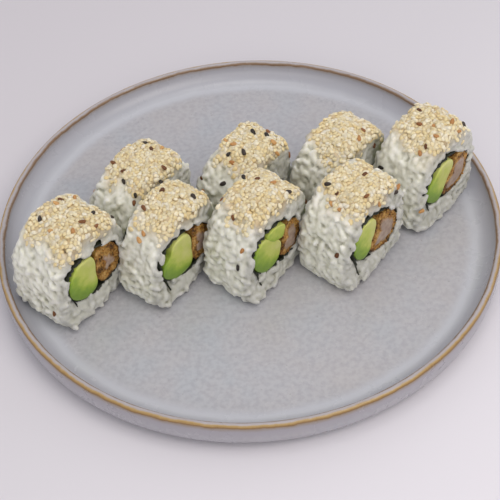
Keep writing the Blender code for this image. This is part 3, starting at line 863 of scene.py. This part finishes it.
def outline_of(node, roll):
    """A filling's middle and its reach all round, read from the solid's cut face."""
    spots = to_roll(read_out(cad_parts[node].data.vertices, "co"), roll)
    face = spots[spots[:, 0] > 0.45 * roll.length][:, 1:]
    middle = (face.min(0) + face.max(0)) / 2
    offset = face - middle
    angle = np.arctan2(offset[:, 1], offset[:, 0])
    order = np.argsort(angle)
    angles = np.arange(FILLING_STEPS) * 2 * math.pi / FILLING_STEPS
    reach = np.interp(angles, angle[order], np.hypot(*offset.T)[order], period=2 * math.pi)
    padded = np.concatenate([reach[-2:], reach, reach[:2]])
    side = 1.0 if middle[0] > 0.0 else -1.0
    outward = np.clip(0.6 + 1.2 * side * np.cos(angles), 0.0, 1.0)
    return middle, np.convolve(padded, np.ones(5) / 5, "valid") + AGAINST_NORI * outward, angles


def filling_rows(half, edge):
    """Distance along the roll and share of the full outline, for each ring of points from the
    middle of one cut face to the middle of the other."""
    cap = [(half, share * SOFT_EDGE_SHARE) for share in np.linspace(0.06, 1.0, FILLING_CAP_RINGS)[:-1]]
    turn = [(half - edge * (1 - math.cos(a)), 1.0 - (1.0 - SOFT_EDGE_SHARE) * (1 - math.sin(a)))
            for a in np.radians((10, 40, 70))]
    side = [(x, 1.0) for x in np.linspace(half - edge, edge - half, FILLING_STEPS_ALONG)]
    return np.array(cap + turn + side + [(-x, share) for x, share in reversed(cap + turn)])


def filling_faces(rows):
    faces = []
    for row in range(rows - 1):
        for step in range(FILLING_STEPS):
            there = (step + 1) % FILLING_STEPS
            a, b = row * FILLING_STEPS + step, row * FILLING_STEPS + there
            faces.append((a, b, b + FILLING_STEPS, a + FILLING_STEPS))
    faces.append(tuple(range(FILLING_STEPS))[::-1])
    faces.append(tuple(range((rows - 1) * FILLING_STEPS, rows * FILLING_STEPS)))
    return faces


def filling_points(roll, middle, reach, angles, rows):
    """Points in the roll's frame, one ring for each row."""
    radius = rows[:, 1:] * reach
    return np.stack([np.repeat(rows[:, :1], FILLING_STEPS, 1), middle[0] + radius * np.cos(angles),
                     middle[1] + radius * np.sin(angles)], 2).reshape(-1, 3)


# Avocado flesh, cut: smooth and a little waxy, with its tones smeared along fine veins.
VEIN_SIZE = 0.003333
SMEAR_HEIGHT = 0.0005
avocado_look, tree, shader = new_material("ripe_avocado_flesh", Roughness=0.38, IOR=1.45,
                                          Subsurface_Weight=0.20, Subsurface_Scale=0.0015,
                                          Subsurface_Radius=(0.9, 1.0, 0.3))
place = add_node(tree, "ShaderNodeTexCoord").outputs["Object"]
skin_side = add_node(tree, "ShaderNodeAttribute", attribute_name="skin_side").outputs["Fac"]
vein = add_node(tree, "ShaderNodeTexNoise", {"Vector": place, "Scale": 1 / VEIN_SIZE, "Detail": 5.0})
spread = add_node(tree, "ShaderNodeMapRange", {"Value": vein, "To Min": -0.30, "To Max": 0.30})
mixed = add_node(tree, "ShaderNodeMath", {0: skin_side, 1: spread}, operation="ADD")
flesh_tone = add_node(tree, "ShaderNodeValToRGB", {"Fac": mixed},
                      [(0.0, "CACB7C"), (0.28, "BCC65E"), (0.50, "9CB442"), (0.75, "7F9E34"),
                       (1.0, "74932E")])
smear = add_node(tree, "ShaderNodeBump", {"Height": vein, "Strength": 0.30, "Distance": SMEAR_HEIGHT})
feed(shader, {"Base Color": flesh_tone, "Normal": smear})

SLICES = [(number, f"avocado_{number}") for number in ROLLS if number != 3]
SLICES += [(3, "avocado_3_upper"), (3, "avocado_3_lower")]
for number, node in SLICES:
    roll = ROLLS[number]
    middle, reach, angles = outline_of(node, roll)
    if node != "avocado_3_lower":
        aside = (angles - NARROW_AT) / NARROW_SPREAD
        reach = reach * (1.0 - NARROW_TOP.get(number, NARROW_ELSEWHERE) * np.exp(-aside * aside))
    rows = filling_rows(roll.length / 2 + SLICE_PROUD, SOFT_EDGE)
    points = filling_points(roll, middle, reach, angles, rows)
    wave = [noise.noise_vector(Vector(spot) / SLICE_WAVE_SIZE + Vector((number, 0.0, 0.0)))
            for spot in points]
    aside = points[:, 1] / (RING_HALF_WIDTH * roll.filled)
    above = (points[:, 2] - roll.rise) / (RING_HALF_HEIGHT * roll.filled)
    outer = np.hypot(aside, above)
    down_left = -0.55 * aside - 0.75 * above
    skin = np.clip(0.9 * outer * (0.55 + down_left) + GREENER.get(node, 0.0), 0.0, 1.0)
    world = from_roll(points + np.array(wave) * SLICE_WAVE, roll)
    new_piece(f"{node}_slice", world, filling_faces(len(rows)), avocado_look, [node],
              {"skin_side": skin})


# Shrimp tempura
# A straightened shrimp, battered, rolled in crumbs and fried, then cut through with the roll. The
# flesh is firm, pale pinkish grey; the batter round it is crisp, golden brown and crumbly.

BATTER_THICKNESS = (0.0020, 0.0052)
BATTER_CRAG = 0.0007
CRAG_SIZE = 0.0016
FLESH_PROUD = 0.0004
CRUMB_SIZE = 0.0012
CRUMBS_ON_A_FACE = 56
CRUMB_VARIES = (0.5, 1.1)
CRUMB_TILT = 0.6
CRUMBS_KEEP_IN = 0.98         # share of the outline that no crumb lies beyond
FLESH_EDGE = 0.06             # share of the outline over which batter gives way to flesh
BATTER_MORE = {1: 1.7, 4: 1.15}          # where the batter is thick and little flesh shows


def batter_share(reach, number):
    """How far out the flesh reaches, as a share of the outline, at each angle."""
    thin, thick = BATTER_THICKNESS
    angles = np.arange(FILLING_STEPS) * 2 * math.pi / FILLING_STEPS
    slow = [noise.noise(Vector((1.6 * math.cos(a), 1.6 * math.sin(a), 3.1 * number))) for a in angles]
    towards_avocado = 0.5 - 0.5 * np.cos(angles)
    above = 0.5 + 0.5 * np.sin(angles)
    thickened = 0.6 * towards_avocado + 0.3 * above + 0.15 + np.array(slow) * 0.5
    depth = thin + (thick - thin) * np.clip(thickened, 0, 1)
    return np.clip(1.0 - BATTER_MORE.get(number, 1.0) * depth / reach, 0.1, 0.9)


# Fried batter and shrimp flesh on one body: the flesh is smooth and moist, the batter dry, rough
# and mottled from straw to dark brown where it caught, crumb by crumb and in wider patches.
CRUMB_TONE_SIZE = 0.001111
PATCH_SIZE = 0.004167
FLESH_GRAIN_SIZE = 0.002857
ROUGH_HEIGHT = 0.0006
tempura_look, tree, shader = new_material("shrimp_in_fried_batter", IOR=1.45, Subsurface_Weight=0.12,
                                          Subsurface_Scale=0.0012)
place = add_node(tree, "ShaderNodeTexCoord").outputs["Object"]
is_flesh = add_node(tree, "ShaderNodeAttribute", attribute_name="flesh").outputs["Fac"]
crumb = add_node(tree, "ShaderNodeTexNoise",
                 {"Vector": place, "Scale": 1 / CRUMB_TONE_SIZE, "Detail": 4.0, "Roughness": 0.65})
patch = add_node(tree, "ShaderNodeTexNoise", {"Vector": place, "Scale": 1 / PATCH_SIZE})
both = add_node(tree, "ShaderNodeMath", {0: crumb, 1: patch}, operation="ADD")
half_way = add_node(tree, "ShaderNodeMath", {0: both, 1: 0.5}, operation="MULTIPLY")
batter_tone = add_node(tree, "ShaderNodeValToRGB", {"Fac": half_way},
                       [(0.40, "482C10"), (0.46, "7E5620"), (0.52, "A67A38"), (0.62, "C69E5E")])
grain_of_flesh = add_node(tree, "ShaderNodeTexNoise", {"Vector": place, "Scale": 1 / FLESH_GRAIN_SIZE})
flesh_tone = add_node(tree, "ShaderNodeValToRGB", {"Fac": grain_of_flesh},
                      [(0.35, "988172"), (0.65, "B09B89")])
tempura_tone = add_node(tree, "ShaderNodeMix", {"Factor": is_flesh, 6: batter_tone, 7: flesh_tone},
                        data_type="RGBA")
gloss = add_node(tree, "ShaderNodeMapRange", {"Value": is_flesh, "To Min": 0.60, "To Max": 0.30})
rough = add_node(tree, "ShaderNodeMapRange", {"Value": is_flesh, "To Min": 0.9, "To Max": 0.1})
crags = add_node(tree, "ShaderNodeBump", {"Height": crumb, "Distance": ROUGH_HEIGHT, "Strength": rough})
feed(shader, {"Base Color": tempura_tone, "Normal": crags, "Roughness": gloss})

crumb_rng = np.random.default_rng(70)
crumbs = []
CRUMB = bead(4, 6, 2.0, 0.08)
for number, roll in ROLLS.items():
    middle, reach, angles = outline_of(f"shrimp_{number}", roll)
    share = batter_share(reach, number)
    rows = filling_rows(roll.length / 2, SOFT_EDGE)
    points = filling_points(roll, middle, reach, angles, rows)
    on_face = np.abs(points[:, 0]) > roll.length / 2 - SOFT_EDGE / 2
    within = np.tile(share, len(rows)) - np.repeat(rows[:, 1], FILLING_STEPS)
    flesh = np.where(on_face, np.clip(within / FLESH_EDGE + 0.5, 0, 1), 0.0)
    crag = np.array([noise.noise_vector(Vector(spot) / CRAG_SIZE + Vector((0.0, number, 0.0)))
                     for spot in points])
    points = points + crag * (BATTER_CRAG * (1.0 - flesh))[:, None]
    points[:, 0] += np.sign(points[:, 0]) * FLESH_PROUD * flesh
    new_piece(f"shrimp_tempura_{number}", from_roll(points, roll), filling_faces(len(rows)),
              tempura_look, [f"shrimp_{number}"], {"flesh": flesh})
    for side in (1, -1):
        spots = crumb_rng.integers(FILLING_STEPS, size=CRUMBS_ON_A_FACE)
        on_batter = crumb_rng.uniform(0.15, 1.0, CRUMBS_ON_A_FACE)
        out = share[spots] + (CRUMBS_KEEP_IN - share[spots]) * on_batter
        radius = reach[spots] * out
        places = np.stack([np.full(CRUMBS_ON_A_FACE, side * roll.length / 2),
                           middle[0] + radius * np.cos(angles[spots]),
                           middle[1] + radius * np.sin(angles[spots])], 1)
        towards = np.tile((float(side), 0.0, 0.0), (CRUMBS_ON_A_FACE, 1)) @ roll_axes(roll)[0]
        sizes = CRUMB_SIZE * crumb_rng.uniform(*CRUMB_VARIES, (CRUMBS_ON_A_FACE, 3))
        lie = frames_on(towards, crumb_rng, CRUMB_TILT)
        crumbs.append(strewn(CRUMB, from_roll(places, roll), lie, sizes))

crumbs = np.concatenate(crumbs)
points, faces = joined(crumbs, CRUMB)
new_piece("fried_crumbs", points, faces.tolist(), tempura_look,
          attributes={"flesh": np.zeros(len(points))})


# Table and light
# A white table with painted light on it: its tone is paler towards the front right. It stands in a
# bright room: soft light from all round, with a lamp overhead and one above the front right, faint
# light from a window behind, and a wide soft light in front that brightens the cut faces and the floor
# before them.

TABLE_SIZE = 3.0
TABLE_SHADED = (-0.35, 0.25)  # from the back left to the front right
ROOM_LIGHT = (0.70, 0.65)     # at the back left and at the front right
ROOM_SHADED = (-1.4, 1.4)

# Each light is a soft rectangle that faces the plate: its place, size, watts and tint.
LIGHTS = {
    "key": ((0.45, -0.35, 0.85), (0.60, 0.60), 2.9, "FFF9F2"),
    "ceiling": ((0.0, 0.10, 1.25), (0.34, 0.34), 1.3, "FFFCF8"),
    "window": ((0.60, 0.85, 0.65), (1.1, 0.5), 0.5, "F2F5FF"),
    "fill": ((-0.12, -1.05, 0.72), (1.6, 0.6), 2.4, "FFFCF6"),
}


def to_front_right(tree, place):
    """How far a place or a direction lies towards the front right: its X less its Y."""
    parts = add_node(tree, "ShaderNodeSeparateXYZ", {"Vector": place}).outputs
    return add_node(tree, "ShaderNodeMath", {0: parts["X"], 1: parts["Y"]}, operation="SUBTRACT")


bpy.ops.mesh.primitive_grid_add(x_subdivisions=1, y_subdivisions=1, size=TABLE_SIZE)
table = bpy.context.object
table.name = "table"
table_look, tree, shader = new_material("white_laminate", Roughness=0.55)
place = add_node(tree, "ShaderNodeTexCoord").outputs["Object"]
along = add_node(tree, "ShaderNodeMapRange",
                 {"Value": to_front_right(tree, place), "From Min": TABLE_SHADED[0],
                  "From Max": TABLE_SHADED[1]})
# Painted light: the table is darker towards the back left and paler towards the front right.
table_tone_and_painted_light = add_node(tree, "ShaderNodeValToRGB", {"Fac": along},
                      [(0.0, "D1CDD2"), (0.5, "D5D2D7"), (1.0, "E2DFE5")])
feed(shader, {"Base Color": table_tone_and_painted_light})
table.data.materials.append(table_look)

for name, (place, size, watts, tint) in LIGHTS.items():
    light = bpy.data.lights.new(name, "AREA")
    light.shape = "RECTANGLE"
    light.size, light.size_y = size
    light.energy = watts
    light.color = colour(tint)[:3]
    lamp = in_scene(name, light)
    lamp.location = place
    lamp.rotation_euler = (-Vector(place)).to_track_quat("-Z", "Y").to_euler()

room = bpy.data.worlds.new("room")
room.use_nodes = True
tree = room.node_tree
sky = tree.nodes["Background"]
way = add_node(tree, "ShaderNodeTexCoord").outputs["Generated"]
across = add_node(tree, "ShaderNodeMapRange",
                  {"Value": to_front_right(tree, way), "From Min": ROOM_SHADED[0],
                   "From Max": ROOM_SHADED[1], "To Min": ROOM_LIGHT[0], "To Max": ROOM_LIGHT[1]})
feed(sky, {"Color": colour("FAF8FC"), "Strength": across})
bpy.context.scene.world = room
bpy.context.scene.view_settings.view_transform = "Standard"
